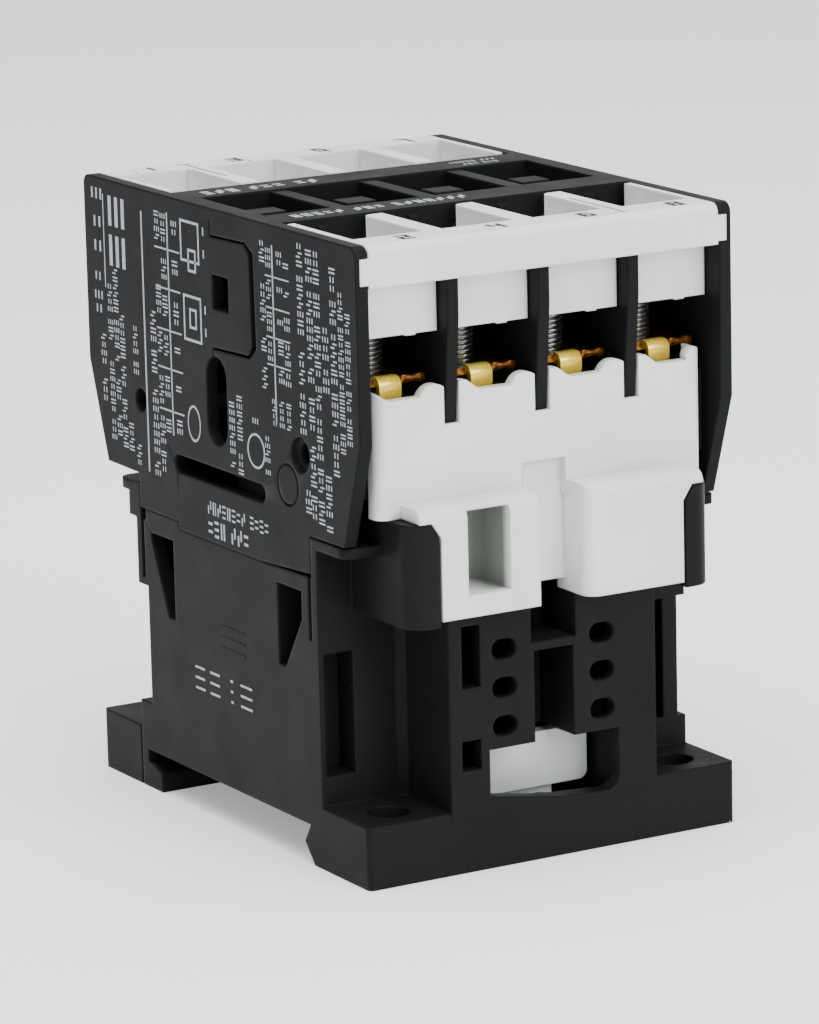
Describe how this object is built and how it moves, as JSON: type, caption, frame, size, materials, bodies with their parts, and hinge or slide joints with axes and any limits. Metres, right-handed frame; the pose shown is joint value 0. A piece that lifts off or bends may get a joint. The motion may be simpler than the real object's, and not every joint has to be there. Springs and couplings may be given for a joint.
{
  "type": "din rail contactor",
  "caption": "Boxy multi-pole contactor with a rail foot, light terminal covers, clamp screws and a sprung contact carrier over a solenoid.",
  "frame": {"origin": "centre of the foot's underside, on the plane the feet stand on", "axes": "+X across the poles towards the higher terminal numbers, -Y towards the load terminals, +Z away from the rail"},
  "size_m": [0.045, 0.0644, 0.067],
  "materials": {
    "black_moulding": "fine matte moulding texture",
    "slate_moulding": "fine matte moulding texture, slightly blue",
    "light_moulding": "smooth light grey moulding",
    "latch_moulding": "translucent white moulding",
    "terminal_brass": "stamped, yellow passivated",
    "zinc_screw": "bright zinc plate",
    "strip_brass": "rolled strip",
    "silver_contact": "silver alloy rivet face",
    "magnet_steel": "ground lamination stack",
    "copper_ring": "bare copper",
    "winding_wire": "enamelled copper wire under tape",
    "bobbin_moulding": "natural moulding",
    "felt_rubber": "soft pad",
    "spring_steel": "bright drawn wire"
  },
  "bodies": {
    "housing": {"base_housing": "black_moulding", "upper_housing": "slate_moulding", "terminal_cover_load": "light_moulding", "terminal_cover_line": "light_moulding", "coil_cover_load": "light_moulding", "coil_cover_line": "light_moulding", "fixed_core": "magnet_steel", "shading_rings": "copper_ring", "core_cushion": "felt_rubber", "coil_bobbin": "bobbin_moulding", "coil_winding": "winding_wire", "coil_terminal_plates": "strip_brass", "fixed_contacts_load": "strip_brass", "fixed_contacts_line": "strip_brass", "fixed_contact_tips": "silver_contact", "return_springs": "spring_steel", "latch_spring": "spring_steel"},
    "carrier": {"contact_carrier": "black_moulding", "armature_core": "magnet_steel", "armature_key": "spring_steel", "contact_spring_1": "spring_steel", "contact_spring_2": "spring_steel", "contact_spring_3": "spring_steel", "contact_spring_4": "spring_steel"},
    "pole_bridge_1": {"bridge_1": "strip_brass", "bridge_tips_1": "silver_contact"},
    "pole_bridge_2": {"bridge_2": "strip_brass", "bridge_tips_2": "silver_contact"},
    "pole_bridge_3": {"bridge_3": "strip_brass", "bridge_tips_3": "silver_contact"},
    "pole_bridge_4": {"bridge_4": "strip_brass", "bridge_tips_4": "silver_contact"},
    "latch": {"rail_latch": "latch_moulding"},
    "clamp_1": {"clamp_1": "terminal_brass"},
    "screw_1": {"screw_1": "zinc_screw"},
    "clamp_2": {"clamp_2": "terminal_brass"},
    "screw_2": {"screw_2": "zinc_screw"},
    "clamp_3": {"clamp_3": "terminal_brass"},
    "screw_3": {"screw_3": "zinc_screw"},
    "clamp_4": {"clamp_4": "terminal_brass"},
    "screw_4": {"screw_4": "zinc_screw"},
    "clamp_5": {"clamp_5": "terminal_brass"},
    "screw_5": {"screw_5": "zinc_screw"},
    "clamp_6": {"clamp_6": "terminal_brass"},
    "screw_6": {"screw_6": "zinc_screw"},
    "clamp_7": {"clamp_7": "terminal_brass"},
    "screw_7": {"screw_7": "zinc_screw"},
    "clamp_8": {"clamp_8": "terminal_brass"},
    "screw_8": {"screw_8": "zinc_screw"},
    "coil_clamp_a1": {"coil_clamp_a1": "terminal_brass"},
    "coil_screw_a1": {"coil_screw_a1": "zinc_screw"},
    "coil_clamp_a2": {"coil_clamp_a2": "terminal_brass"},
    "coil_screw_a2": {"coil_screw_a2": "zinc_screw"}
  },
  "joints": [
    {"name": "carrier_slide", "type": "slide", "parent": "housing", "child": "carrier", "axis": [0, 0, 1], "range_m": [-0.005, 0], "stiffness_N_per_m": 350, "springref_m": 0.005, "deforming": ["return_springs"]},
    {"name": "bridge_1_overtravel", "type": "slide", "parent": "carrier", "child": "pole_bridge_1", "axis": [0, 0, 1], "range_m": [0, 0.0016], "deforming": ["contact_spring_1"]},
    {"name": "bridge_2_overtravel", "type": "slide", "parent": "carrier", "child": "pole_bridge_2", "axis": [0, 0, 1], "range_m": [0, 0.0016], "deforming": ["contact_spring_2"]},
    {"name": "bridge_3_overtravel", "type": "slide", "parent": "carrier", "child": "pole_bridge_3", "axis": [0, 0, 1], "range_m": [0, 0.0016], "deforming": ["contact_spring_3"]},
    {"name": "bridge_4_overtravel", "type": "slide", "parent": "carrier", "child": "pole_bridge_4", "axis": [0, 0, 1], "range_m": [0, 0.0016], "deforming": ["contact_spring_4"]},
    {"name": "latch_slide", "type": "slide", "parent": "housing", "child": "latch", "axis": [0, -1, 0], "range_m": [0, 0.0022], "stiffness_N_per_m": 500, "springref_m": -0.003, "deforming": ["latch_spring"]},
    {"name": "screw_1_drive", "type": "slide", "parent": "housing", "child": "screw_1", "axis": [0, 0, -1], "range_m": [0, 0.0024]},
    {"name": "clamp_1_lift", "type": "slide", "parent": "housing", "child": "clamp_1", "axis": [0, 0, 1], "range_m": [0, 0.0024]},
    {"name": "screw_2_drive", "type": "slide", "parent": "housing", "child": "screw_2", "axis": [0, 0, -1], "range_m": [0, 0.0024]},
    {"name": "clamp_2_lift", "type": "slide", "parent": "housing", "child": "clamp_2", "axis": [0, 0, 1], "range_m": [0, 0.0024]},
    {"name": "screw_3_drive", "type": "slide", "parent": "housing", "child": "screw_3", "axis": [0, 0, -1], "range_m": [0, 0.0024]},
    {"name": "clamp_3_lift", "type": "slide", "parent": "housing", "child": "clamp_3", "axis": [0, 0, 1], "range_m": [0, 0.0024]},
    {"name": "screw_4_drive", "type": "slide", "parent": "housing", "child": "screw_4", "axis": [0, 0, -1], "range_m": [0, 0.0024]},
    {"name": "clamp_4_lift", "type": "slide", "parent": "housing", "child": "clamp_4", "axis": [0, 0, 1], "range_m": [0, 0.0024]},
    {"name": "screw_5_drive", "type": "slide", "parent": "housing", "child": "screw_5", "axis": [0, 0, -1], "range_m": [0, 0.0024]},
    {"name": "clamp_5_lift", "type": "slide", "parent": "housing", "child": "clamp_5", "axis": [0, 0, 1], "range_m": [0, 0.0024]},
    {"name": "screw_6_drive", "type": "slide", "parent": "housing", "child": "screw_6", "axis": [0, 0, -1], "range_m": [0, 0.0024]},
    {"name": "clamp_6_lift", "type": "slide", "parent": "housing", "child": "clamp_6", "axis": [0, 0, 1], "range_m": [0, 0.0024]},
    {"name": "screw_7_drive", "type": "slide", "parent": "housing", "child": "screw_7", "axis": [0, 0, -1], "range_m": [0, 0.0024]},
    {"name": "clamp_7_lift", "type": "slide", "parent": "housing", "child": "clamp_7", "axis": [0, 0, 1], "range_m": [0, 0.0024]},
    {"name": "screw_8_drive", "type": "slide", "parent": "housing", "child": "screw_8", "axis": [0, 0, -1], "range_m": [0, 0.0024]},
    {"name": "clamp_8_lift", "type": "slide", "parent": "housing", "child": "clamp_8", "axis": [0, 0, 1], "range_m": [0, 0.0024]},
    {"name": "coil_screw_a1_drive", "type": "slide", "parent": "housing", "child": "coil_screw_a1", "axis": [0, 1, 0], "range_m": [0, 0.002]},
    {"name": "coil_clamp_a1_follow", "type": "slide", "parent": "housing", "child": "coil_clamp_a1", "axis": [0, 1, 0], "range_m": [0, 0.002]},
    {"name": "coil_screw_a2_drive", "type": "slide", "parent": "housing", "child": "coil_screw_a2", "axis": [0, 1, 0], "range_m": [0, 0.002]},
    {"name": "coil_clamp_a2_follow", "type": "slide", "parent": "housing", "child": "coil_clamp_a2", "axis": [0, 1, 0], "range_m": [0, 0.002]}
  ],
  "couplings": [
    {"joint": "bridge_1_overtravel", "follows": "carrier_slide", "ratio": -0.304},
    {"joint": "bridge_2_overtravel", "follows": "carrier_slide", "ratio": -0.304},
    {"joint": "bridge_3_overtravel", "follows": "carrier_slide", "ratio": -0.304},
    {"joint": "bridge_4_overtravel", "follows": "carrier_slide", "ratio": -0.304},
    {"joint": "coil_clamp_a1_follow", "follows": "coil_screw_a1_drive", "ratio": 1},
    {"joint": "coil_clamp_a2_follow", "follows": "coil_screw_a2_drive", "ratio": 1}
  ]
}
